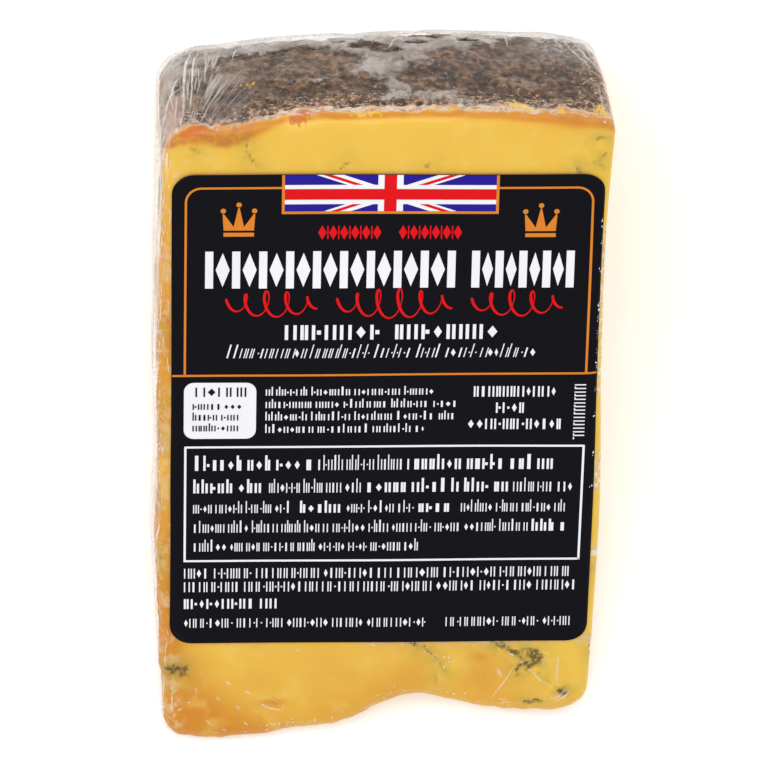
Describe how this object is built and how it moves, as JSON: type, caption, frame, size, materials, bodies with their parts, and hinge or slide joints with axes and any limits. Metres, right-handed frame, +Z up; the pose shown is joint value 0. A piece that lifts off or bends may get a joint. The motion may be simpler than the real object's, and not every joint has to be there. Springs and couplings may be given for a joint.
{
  "type": "film-wrapped blue cheese wedge",
  "caption": "Wedge of orange blue cheese with a craggy grey-brown rind and a crumbled tip, wrapped in clear film with a dark paper label, lying on a cut face.",
  "frame": {"origin": "middle of the bounding box's base, on the flat face that the wedge lies on", "axes": "+X across the slab from the drum's flat rind end to the cut side, +Y from the crumbled tip to the craggy rind, +Z up"},
  "size_m": [0.068, 0.1094, 0.0566],
  "materials": {
    "cheese_in_film": "glossy clear film over cheese",
    "label": "satin"
  },
  "bodies": {
    "root": {"cheese_in_film": "cheese_in_film", "label": "label"}
  },
  "joints": []
}
